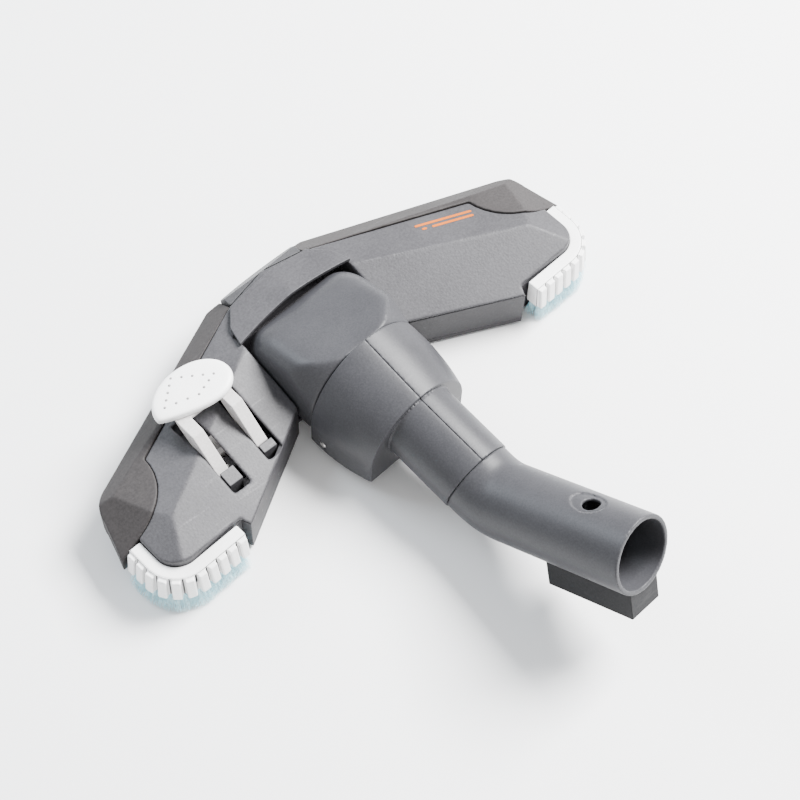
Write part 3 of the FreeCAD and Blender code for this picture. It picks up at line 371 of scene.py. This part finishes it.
def repeated(item, matrix):
    """A copy of an object, with its own mesh, moved into place."""
    copy = item.copy()
    copy.data = item.data.copy()
    copy.data.transform(matrix)
    bpy.context.scene.collection.objects.link(copy)
    return copy


STRAND_STEPS = 3
STRAND_TAPER = 0.86


def filament(thick, length, curve):
    """One filament that hangs from the origin: square in section, tapering, bending ever more towards +X."""
    bpy.ops.object.select_all(action="DESELECT")
    bpy.ops.mesh.primitive_circle_add(vertices=4, radius=thick, fill_type="NGON")
    strand = bpy.context.object
    bpy.ops.object.mode_set(mode="EDIT")
    for step in range(STRAND_STEPS):
        sideways = curve * (2 * step + 1) / STRAND_STEPS ** 2
        down = -length / STRAND_STEPS
        bpy.ops.mesh.extrude_region_move(TRANSFORM_OT_translate={"value": (sideways, 0, down)})
        bpy.ops.transform.resize(value=(STRAND_TAPER, STRAND_TAPER, 1),
                                 center_override=(curve * ((step + 1) / STRAND_STEPS) ** 2, 0, 0))
    bpy.ops.mesh.select_all(action="SELECT")
    bpy.ops.mesh.normals_make_consistent(inside=False)
    bpy.ops.object.mode_set(mode="OBJECT")
    return strand


GOLDEN_ANGLE = 2.39996


def tuft(name, count, thick, length, spread, foot):
    """A bundle of filaments that leave one hole, laid out like seeds in a flower head, and fan out."""
    strand = filament(thick, length, spread * 0.6)
    bundle = []
    for number in range(count):
        turn = number * GOLDEN_ANGLE
        out = math.sqrt((number + 0.5) / count)
        lean = Matrix.Rotation(-math.atan2(spread, length) * out * dice.uniform(0.6, 1.0), 4, "Y")
        start = Matrix.Translation((foot * out * math.cos(turn), foot * out * math.sin(turn), 0))
        bundle.append(repeated(strand, start @ Matrix.Rotation(turn, 4, "Z") @ lean
                               @ Matrix.Diagonal((1, 1, dice.uniform(0.93, 1.0), 1))))
    bpy.data.objects.remove(strand)
    return joined(bundle, name)


comb_tuft = tuft("comb_tuft", count=30, thick=0.13 * MM, length=12.6 * MM, spread=1.5 * MM, foot=0.85 * MM)
# (distance of a row of tufts from the corner's middle, pitch along it, lean outwards) of the two rows
TUFT_ROWS = ((13.2 * MM, 2.0 * MM, -0.02), (16.6 * MM, 2.1 * MM, 0.26))
TUFT_ROOT, FLOOR_GAP = 0.4 * MM, 0.1 * MM
COMB_INNER_END, COMB_FRONT_MARGIN = 95.4 * MM, 1.4 * MM
for side in ("right", "left"):
    centre, sign = corner_centre(side)
    low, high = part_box("comb_" + side)
    bundle = []
    for reach, pitch, lean in TUFT_ROWS:
        straight = high.y - COMB_FRONT_MARGIN - centre.y
        bend = reach * math.pi / 2
        run_in = abs(centre.x) - COMB_INNER_END
        total = straight + bend + run_in
        for number in range(int(total / pitch)):
            run = (number + 0.5) * pitch
            if run < straight:
                spot, heading = Vector((reach, straight - run, 0)), 0.0
            elif run < straight + bend:
                heading = -(run - straight) / reach
                spot = Vector((reach * math.cos(heading), reach * math.sin(heading), 0))
            else:
                heading = -math.pi / 2
                spot = Vector((-(run - straight - bend), -reach, 0))
            if sign < 0:
                spot.x, heading = -spot.x, math.pi - heading
            spot.z = low.z + TUFT_ROOT
            bundle.append(repeated(comb_tuft, Matrix.Translation(centre + spot)
                                   @ Matrix.Rotation(heading, 4, "Z")
                                   @ Matrix.Rotation(-lean + dice.uniform(-0.05, 0.05), 4, "Y")
                                   @ Matrix.Rotation(dice.uniform(0, FULL_TURN), 4, "Z")))
    bristles = joined(bundle, "comb_filaments_" + side)
    for corner in bristles.data.vertices:
        corner.co.z = max(corner.co.z, FLOOR_GAP)
    dress(bristles, bristle_nylon, "head", "bristle_blue", "comb_bristles_" + side)
bpy.data.objects.remove(comb_tuft)

# Front rollers: two black rollers that turn on steel pins under the front of the sole.
roller_plastic = moulding("roller plastic", (0.018, 0.018, 0.02), (0.035, 0.035, 0.037), (0.12, 0.12, 0.12),
                          0.4, 0.6)
for side in ("right", "left"):
    softened("front_roller_" + side, "roller_" + side, 0.3 * MM, roller_plastic, "front_roller_" + side,
             "wheel_black")

# Pins, springs, axle and screw stems are drawn steel wire, with fine marks along the wire.
steel = bpy.data.materials.new("bright steel")
steel.use_nodes = True
tree = steel.node_tree
shell = tree.nodes["Principled BSDF"]
place = put(tree, "ShaderNodeTexCoord").outputs["Object"]
lengthways = put(tree, "ShaderNodeMapping", Vector=place, Scale=(200, 3000, 3000)).outputs[0]
drawn = put(tree, "ShaderNodeTexNoise", Vector=lengthways, Scale=1.0, Detail=3.0).outputs["Fac"]
tree.links.new(blended(tree, drawn, (0.42, 0.41, 0.4, 1), (0.68, 0.67, 0.65, 1)), shell.inputs["Base Color"])
tree.links.new(put(tree, "ShaderNodeMapRange", Value=drawn, To_Min=0.18, To_Max=0.4).outputs[0],
               shell.inputs["Roughness"])
tree.links.new(put(tree, "ShaderNodeBump", Height=drawn, Strength=0.2, Distance=0.00002).outputs[0],
               shell.inputs["Normal"])
shell.inputs["Metallic"].default_value = 1.0
for node in ("roller_pin_right", "roller_pin_left", "pedal_pin", "pedal_spring", "return_springs",
             "wheel_axle", "cover_screws"):
    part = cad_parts[node]
    part.data.materials.clear()
    part.data.materials.append(steel)

# Lint strips: two red napped strips along the front of the sole that pick up hair. A backing is stuck to the
# sole, and short bent hairs stand all over it.
lint_pile = bpy.data.materials.new("red lint pile")
lint_pile.use_nodes = True
tree = lint_pile.node_tree
shell = tree.nodes["Principled BSDF"]
place = put(tree, "ShaderNodeTexCoord").outputs["Object"]
nap = put(tree, "ShaderNodeTexNoise", Vector=place, Scale=1400.0, Detail=3.0).outputs["Fac"]
tree.links.new(blended(tree, nap, (0.28, 0.012, 0.014, 1), (0.55, 0.035, 0.035, 1)),
               shell.inputs["Base Color"])
tree.links.new(put(tree, "ShaderNodeMapRange", Value=nap, To_Min=0.75, To_Max=0.95).outputs[0],
               shell.inputs["Roughness"])
tree.links.new(put(tree, "ShaderNodeBump", Height=nap, Strength=0.6, Distance=0.0001).outputs[0],
               shell.inputs["Normal"])
shell.inputs["Sheen Weight"].default_value = 0.6
pile = filament(thick=0.16 * MM, length=0.75 * MM, curve=0.3 * MM)
NAP_COLUMNS, NAP_ROWS = 110, 5
STRIP_DEPTH, NAP_ROOT = 3.8 * MM, 0.35 * MM
for side, sign in (("right", 1), ("left", -1)):
    low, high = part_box("lint_strip_" + side)
    inner = low.x if sign > 0 else high.x
    outer = high.x if sign > 0 else low.x
    start = Vector((inner, high.y - STRIP_DEPTH, low.z + NAP_ROOT))
    end = Vector((outer, low.y, low.z + NAP_ROOT))
    hairs = []
    for column in range(NAP_COLUMNS):
        for row in range(NAP_ROWS):
            share = (column + dice.uniform(0.1, 0.9)) / NAP_COLUMNS
            spot = start.lerp(end, share)
            spot.y += STRIP_DEPTH * (row + dice.uniform(0.2, 0.8)) / NAP_ROWS
            turn = Matrix.Rotation(dice.uniform(0, FULL_TURN), 4, "Z")
            hairs.append(repeated(pile, Matrix.Translation(spot) @ turn))
    softened("lint_strip_" + side, "lint_backing_" + side, 0.15 * MM, lint_pile, "head", "lint_red")
    dress(joined(hairs, "lint_nap_" + side), lint_pile, "head", "lint_red")
bpy.data.objects.remove(pile)

# Screws: six countersunk cross-head screws, zinc plated. They are driven up through the sole plate into
# bosses of the lower tray, three under each wing.
HEAD_RADIUS, HEAD_HEIGHT = 2.9 * MM, 0.35 * MM
# (step inwards, rise) of the rings that round the head off
HEAD_STEPS = ((0.35, 0.12), (0.7, 0.05))
RECESS_LENGTH, RECESS_WIDTH, RECESS_DEPTH = 3.2 * MM, 0.7 * MM, 1.4 * MM
RECESS_MIDDLE = -0.5 * MM


def cross_screw():
    """One screw head with a cross recess, face down, with its rim at the origin."""
    bpy.ops.object.select_all(action="DESELECT")
    bpy.ops.mesh.primitive_circle_add(vertices=32, radius=HEAD_RADIUS, fill_type="NGON")
    screw = bpy.context.object
    bpy.ops.object.mode_set(mode="EDIT")
    bpy.ops.mesh.extrude_region_move(TRANSFORM_OT_translate={"value": (0, 0, -HEAD_HEIGHT)})
    for inwards, rise in HEAD_STEPS:
        bpy.ops.mesh.inset(thickness=inwards * MM, depth=rise * MM)
    bpy.ops.mesh.select_all(action="SELECT")
    bpy.ops.mesh.normals_make_consistent(inside=False)
    bpy.ops.object.mode_set(mode="OBJECT")
    for turn in (0.0, math.pi / 2):
        bpy.ops.mesh.primitive_cube_add(size=1.0)
        slot = bpy.context.object
        slot.data.transform(Matrix.Rotation(turn, 4, "Z") @ Matrix.Translation((0, 0, RECESS_MIDDLE))
                            @ Matrix.Diagonal((RECESS_LENGTH, RECESS_WIDTH, RECESS_DEPTH, 1)))
        only(screw)
        cut = screw.modifiers.new("recess", "BOOLEAN")
        cut.object = slot
        cut.operation = "DIFFERENCE"
        bpy.ops.object.modifier_apply(modifier="recess")
        bpy.data.objects.remove(slot)
    only(screw)
    bpy.ops.object.shade_smooth_by_angle(angle=math.radians(35))
    return screw


screw = cross_screw()
heads = []
# places of the right wing's screws, and how far the heads stand off the screws' lowest point
SCREW_PLACES = ((41.0, 55.6), (104.0, 34.6), (124.9, 45.0))
HEAD_OFFSET = 0.42 * MM
for x, y in SCREW_PLACES:
    for sign in (1, -1):
        spot = Vector((sign * x * MM, y * MM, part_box("cover_screws")[0].z + HEAD_OFFSET))
        turn = Matrix.Rotation(dice.uniform(0, 1.5), 4, "Z")
        heads.append(repeated(screw, Matrix.Translation(spot) @ turn))
bpy.data.objects.remove(screw)
dress(joined(heads, "screw_heads"), steel, "head", "bright_steel")

# Brush strip: a swept bar in the sole plate that the pedal pushes down, moulded like the tray. Short tufts of
# the same pale blue nylon are stapled along it, twenty-five under each wing.
softened("brush_carrier", "carrier_bar", 0.2 * MM, tray_plastic, "brush_strip", "tray_grey")
strip_tuft = tuft("strip_tuft", count=22, thick=0.12 * MM, length=4.6 * MM, spread=0.7 * MM, foot=0.9 * MM)
low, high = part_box("carrier_bristles")
bundle = []
STRIP_TUFTS = 25
INNER_END, OUTER_MARGIN, HALF_STRIP = 43.4 * MM, 1.0 * MM, 2.0 * MM
for sign in (1, -1):
    inner = Vector((sign * INNER_END, high.y - HALF_STRIP, high.z))
    outer = Vector((sign * (high.x - OUTER_MARGIN), low.y + HALF_STRIP, high.z))
    for number in range(STRIP_TUFTS):
        bundle.append(repeated(strip_tuft, Matrix.Translation(inner.lerp(outer, number / (STRIP_TUFTS - 1)))
                               @ Matrix.Rotation(dice.uniform(0, FULL_TURN), 4, "Z")))
bpy.data.objects.remove(strip_tuft)
dress(joined(bundle, "strip_filaments"), bristle_nylon, "brush_strip", "bristle_blue", "carrier_bristles")

# Pedal: a domed oval foot plate in white, with small grip nubs set in a four-cornered ring, on a lever with
# two flat arms that go down through the cover to a steel pin between two grey mouldings.
softened("pivot_blocks", "pivot_mouldings", 0.3 * MM, cover_plastic, "head", "tray_grey")
pedal_plastic = moulding("pedal plastic", (0.78, 0.78, 0.775), (0.85, 0.85, 0.845), (0.92, 0.92, 0.92),
                         0.28, 0.42, bump=0.12, radius=0.0004, gloss=0.4)
# the lever is of the same white plastic as the plate; its mid grey colour is painted shade on the arms
lever_painted_shade = moulding("lever white with painted shade", (0.4, 0.385, 0.38), (0.5, 0.485, 0.48), (0.6, 0.59, 0.58),
                         0.35, 0.5, bump=0.2, gloss=0.3)
lever = softened("pedal_lever", "lever_moulding", 0.5 * MM, lever_painted_shade, "pedal", "pedal_white")
low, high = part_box("pedal_lever")
# the bar between the arms is set back under the plate
ARM_WIDTH, BAR_DEPTH, BAR_SETBACK = 5.8 * MM, 3.0 * MM, 7.5 * MM
BAR_FACE, FACE_BAND = low.y + 17.4 * MM, 0.45 * MM
for corner in lever.data.vertices:
    between = low.x + ARM_WIDTH < corner.co.x < high.x - ARM_WIDTH
    if between and corner.co.z > high.z - BAR_DEPTH and abs(corner.co.y - BAR_FACE) < FACE_BAND:
        corner.co.y += BAR_SETBACK
low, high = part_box("pedal_plate")
middle = (low + high) / 2
bpy.ops.object.select_all(action="DESELECT")
bpy.ops.mesh.primitive_circle_add(vertices=72, radius=1.0, fill_type="NGON")
plate = bpy.context.object
plate.name = "foot_plate"
plate.data.transform(Matrix.Translation((middle.x, middle.y, low.z))
                     @ Matrix.Diagonal(((high.x - low.x) / 2, (high.y - low.y) / 2, 1, 1)))
# (share of the full outline, height above the underside) of each ring, from the rim to the crown
DOME = ((0.985, 0.3), (1.0, 0.9), (1.0, 2.3), (0.99, 2.9), (0.965, 3.4), (0.93, 3.75), (0.88, 4.0),
        (0.78, 4.2), (0.62, 4.34), (0.42, 4.43), (0.2, 4.48))
UNDERSIDE_SHARE = 0.95
bpy.ops.object.mode_set(mode="EDIT")
share, height = UNDERSIDE_SHARE, 0.0
bpy.ops.transform.resize(value=(share, share, 1), center_override=(middle.x, middle.y, low.z))
for size, rise in DOME:
    bpy.ops.mesh.extrude_region_move(TRANSFORM_OT_translate={"value": (0, 0, (rise - height) * MM)})
    bpy.ops.transform.resize(value=(size / share, size / share, 1),
                             center_override=(middle.x, middle.y, low.z))
    share, height = size, rise
bpy.ops.mesh.select_all(action="SELECT")
bpy.ops.mesh.normals_make_consistent(inside=False)
bpy.ops.object.mode_set(mode="OBJECT")
# the edge towards the arms is flatter, most at the outer end
MIDDLE_DEPTH, DEPTH_CHANGE = 0.62, 16.0
for corner in plate.data.vertices:
    if corner.co.y < middle.y:
        share = MIDDLE_DEPTH + DEPTH_CHANGE * (corner.co.x - middle.x)
        corner.co.y = middle.y + (corner.co.y - middle.y) * share
only(plate)
bpy.ops.object.shade_smooth_by_angle(angle=math.radians(45))
dress(plate, pedal_plastic, "pedal", "pedal_white", "pedal_plate")

# a nub's foot sinks a little into the plate, and two rings, each a (step inwards, rise), round its top off
NUB_RADIUS, NUB_HEIGHT, NUB_SINK = 0.62 * MM, 0.3 * MM, 0.2 * MM
NUB_STEPS = ((0.16, 0.12), (0.2, 0.05))
# the nubs are of the plate's white plastic; their dark grey colour is painted shade, so that each nub shows
# as a grey dot
nub_painted_shade = moulding("grip nub painted shade grey", (0.16, 0.15, 0.15), (0.25, 0.24, 0.24), (0.4, 0.4, 0.4), 0.4, 0.6)
bpy.ops.object.select_all(action="DESELECT")
bpy.ops.mesh.primitive_circle_add(vertices=12, radius=NUB_RADIUS, fill_type="NGON")
nub = bpy.context.object
bpy.ops.object.mode_set(mode="EDIT")
bpy.ops.mesh.extrude_region_move(TRANSFORM_OT_translate={"value": (0, 0, NUB_HEIGHT)})
for inwards, rise in NUB_STEPS:
    bpy.ops.mesh.inset(thickness=inwards * MM, depth=rise * MM)
bpy.ops.mesh.select_all(action="SELECT")
bpy.ops.mesh.normals_make_consistent(inside=False)
bpy.ops.object.mode_set(mode="OBJECT")
nubs = []
# (sideways, forwards) of the ring's corners from the middle of the plate
RING_CORNERS = ((-2.8, 11.8), (12.9, 0.4), (1.1, -3.2), (-14.6, 2.0))
NUBS_PER_SIDE = (4, 3, 3, 4)
WELL_ABOVE = 0.2
for number, steps in enumerate(NUBS_PER_SIDE):
    first, last = (Vector((*RING_CORNERS[(number + turn) % 4], 0)) * MM for turn in (0, 1))
    for step in range(steps):
        spot = Vector((middle.x, middle.y, WELL_ABOVE)) + first.lerp(last, step / steps)
        place = plate.ray_cast(spot, Vector((0, 0, -1)))[1]
        nubs.append(repeated(nub, Matrix.Translation(place - Vector((0, 0, NUB_SINK)))))
bpy.data.objects.remove(nub)
grip = joined(nubs, "grip_nubs")
only(grip)
bpy.ops.object.shade_smooth_by_angle(angle=math.radians(50))
dress(grip, nub_painted_shade, "pedal", "pedal_white")

# Printed stripes on the right wing: two plain orange bars with rounded ends and a dot. They are pad printed
# on the front slope of the cover, along the wing's sweep.
print_ink = moulding("orange ink", (0.35, 0.08, 0.003), (0.43, 0.1, 0.005), (0.47, 0.13, 0.012), 0.35, 0.5,
                     grain=1300.0)
# how much the slope falls per unit sideways and forwards, and its height over the scene's origin in mm
SLOPE_SIDEWAYS, SLOPE_FORWARDS, SLOPE_HEIGHT = 0.108, 0.165, 55.795
WING_SWEEP = 22.5
upright = Vector((SLOPE_SIDEWAYS, SLOPE_FORWARDS, 1.0)).normalized()
sweep = math.radians(WING_SWEEP)
along = Vector((math.cos(sweep), -math.sin(sweep), 0))
along = (along - upright * along.dot(upright)).normalized()
across = upright.cross(along)
PRINT_SIDEWAYS, PRINT_FORWARDS = 86.0, 78.5
print_spot = Vector((PRINT_SIDEWAYS, PRINT_FORWARDS, 0)) * MM
print_spot.z = SLOPE_HEIGHT * MM - SLOPE_SIDEWAYS * print_spot.x - SLOPE_FORWARDS * print_spot.y
lay = Matrix((along, across, upright)).transposed().to_4x4()
# (place across the wing, place along it, length) of the bars and the dot
STRIPES = ((1.8, 0.0, 30.0), (-1.2, 4.0, 22.0), (-1.2, -11.0, 2.6))
STRIPE_WIDTH, INK_THICKNESS, INK_LIFT = 1.5 * MM, 0.1 * MM, 0.06 * MM
marks = []
for offset, shift, length in STRIPES:
    bpy.ops.object.select_all(action="DESELECT")
    bpy.ops.mesh.primitive_cube_add(size=1.0)
    bar = bpy.context.object
    bar.data.transform(Matrix.Diagonal((length * MM, STRIPE_WIDTH, INK_THICKNESS, 1)))
    bpy.ops.object.mode_set(mode="EDIT")
    bpy.ops.mesh.select_mode(type="EDGE")
    bpy.ops.mesh.select_all(action="DESELECT")
    bpy.ops.object.mode_set(mode="OBJECT")
    for edge in bar.data.edges:
        first, last = (bar.data.vertices[index].co for index in edge.vertices)
        edge.select = abs(first.z - last.z) > INK_THICKNESS / 2
    bpy.ops.object.mode_set(mode="EDIT")
    bpy.ops.mesh.bevel(offset=0.45 * STRIPE_WIDTH, segments=4, affect="EDGES")
    bpy.ops.object.mode_set(mode="OBJECT")
    on_slope = Matrix.Translation((shift * MM, offset * MM, INK_LIFT))
    bar.data.transform(Matrix.Translation(print_spot) @ lay @ on_slope)
    marks.append(bar)
dress(joined(marks, "printed_stripes"), print_ink, "head", "cover_grey")

# Neck: the visor-like barrel that tilts between the wings, the two halves of the wheel housing and pipe that
# meet on the middle plane, the air liner inside, and the two soft-tyred wheels on a steel axle.
neck_plastic = moulding("neck plastic", (0.028, 0.028, 0.031), (0.039, 0.039, 0.043), (0.075, 0.075, 0.08),
                        0.36, 0.5, grain=1200.0, bump=0.25)
skinned("hinge_barrel", "barrel_moulding", 0.75 * MM, 60, neck_plastic, "neck", "neck_grey")
skinned("neck_half_right", "neck_shell_right", 0.6 * MM, 2, neck_plastic, "neck", "neck_grey")
skinned("neck_half_left", "neck_shell_left", 0.6 * MM, 2, neck_plastic, "neck", "neck_grey")
softened("air_duct", "duct_liner", 0.35 * MM, neck_plastic, "neck", "neck_grey")
tyre_rubber = moulding("tyre rubber", (0.04, 0.04, 0.042), (0.06, 0.06, 0.062), (0.11, 0.11, 0.11), 0.6, 0.8,
                       gloss=0.15)
for side in ("right", "left"):
    softened("rear_wheel_" + side, "wheel_hub_" + side, 0.25 * MM, roller_plastic, "rear_wheel_" + side,
             "wheel_black")
    softened("rear_tyre_" + side, "wheel_tyre_" + side, 0.3 * MM, tyre_rubber, "rear_wheel_" + side,
             "tyre_soft")

# Elbow: one bent tube that swivels in the neck, with the lock hole for the wand and the ribbed parking hook
# under its end, and the white clip ring that holds it in.
skinned("elbow_tube", "elbow_moulding", 0.64 * MM, 4, neck_plastic, "elbow", "neck_grey")
hook_plastic = moulding("hook plastic", (0.009, 0.009, 0.01), (0.016, 0.016, 0.017), (0.04, 0.04, 0.04),
                        0.45, 0.6, gloss=0.12)
softened("park_hook", "hook_moulding", 0.4 * MM, hook_plastic, "elbow", "neck_grey")
softened("swivel_clip", "clip_ring", 0.2 * MM, comb_plastic, "elbow", "comb_white")
